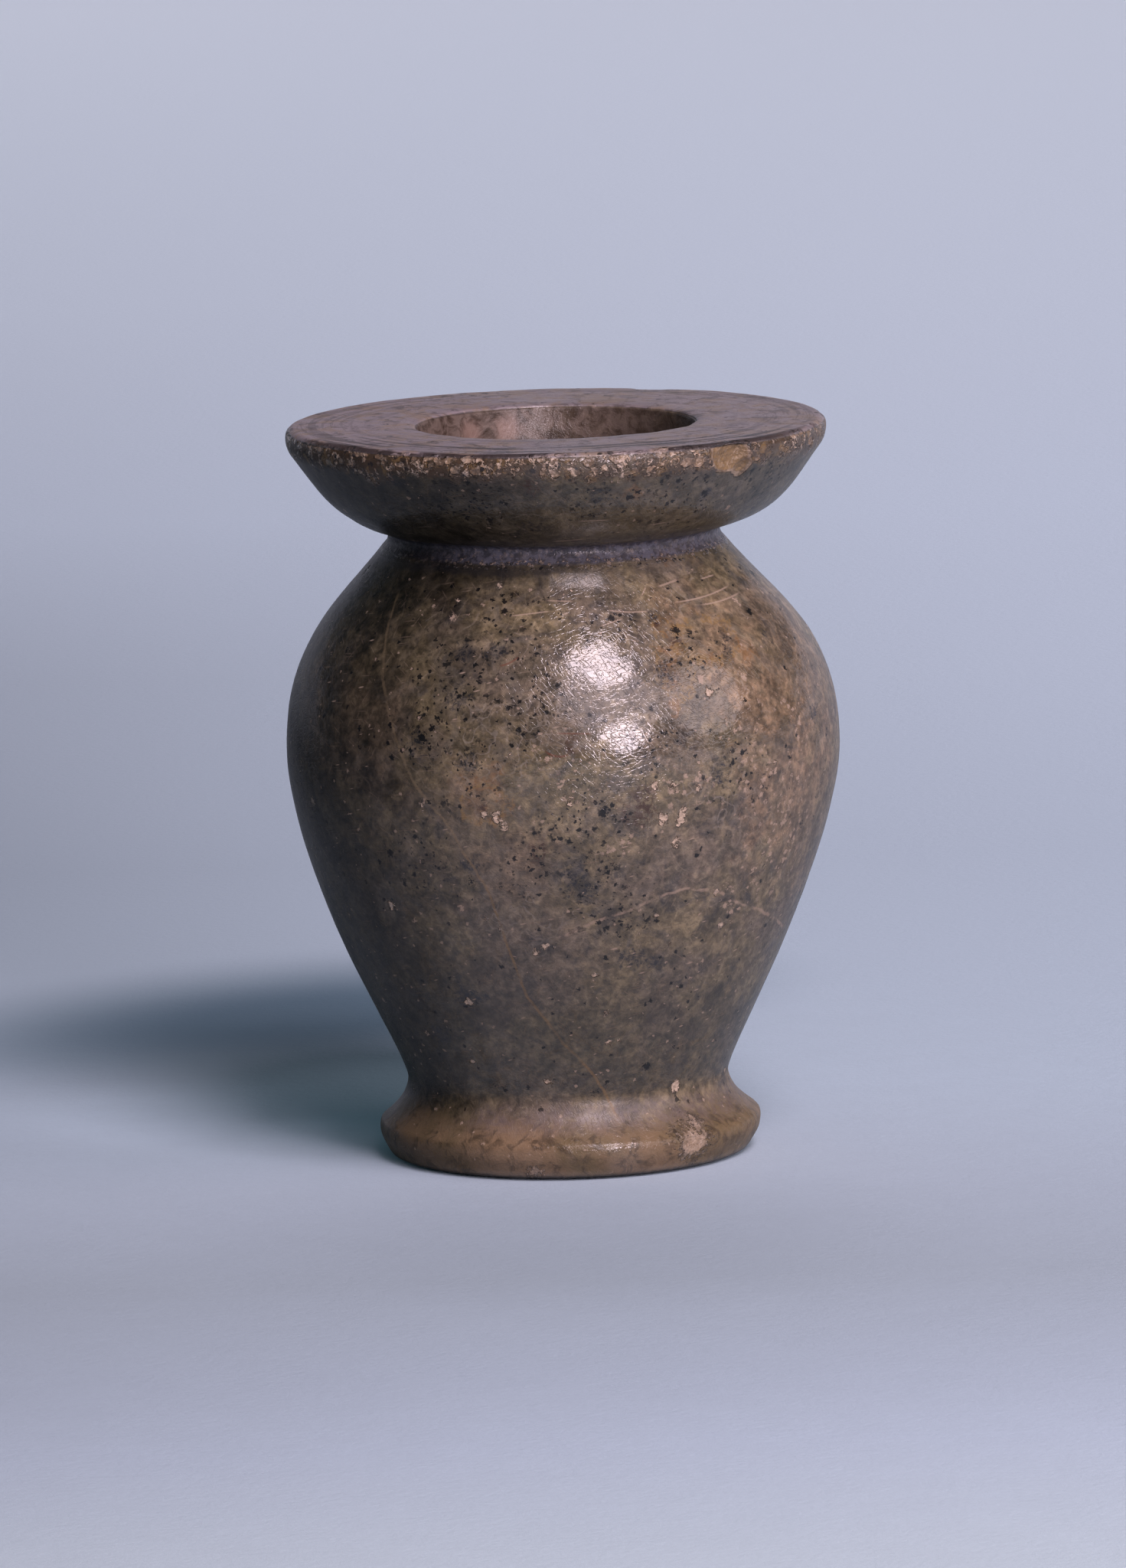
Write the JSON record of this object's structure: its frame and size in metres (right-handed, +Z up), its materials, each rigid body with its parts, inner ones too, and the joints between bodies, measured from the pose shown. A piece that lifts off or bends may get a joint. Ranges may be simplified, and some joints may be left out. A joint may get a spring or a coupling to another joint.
{
  "type": "kohl vessel",
  "caption": "Small round-bodied stone kohl vessel with a wide flat rim, a narrow neck, a flared foot and a drilled well with dried kohl at its bottom.",
  "frame": {"origin": "centre of the foot's flat underside", "axes": "+Z up along the vessel's axis, from the foot to the rim; -Y faces the viewer of the picture and +X is to the right"},
  "size_m": [0.036, 0.036, 0.048],
  "materials": {
    "stone": "polished olive-grey to brown stone with black specks, orange veins and pale crusted pits",
    "kohl": "dull black dried powder cake with fine cracks"
  },
  "bodies": {
    "root": {"vessel": "stone", "kohl_residue": "kohl"}
  },
  "joints": []
}
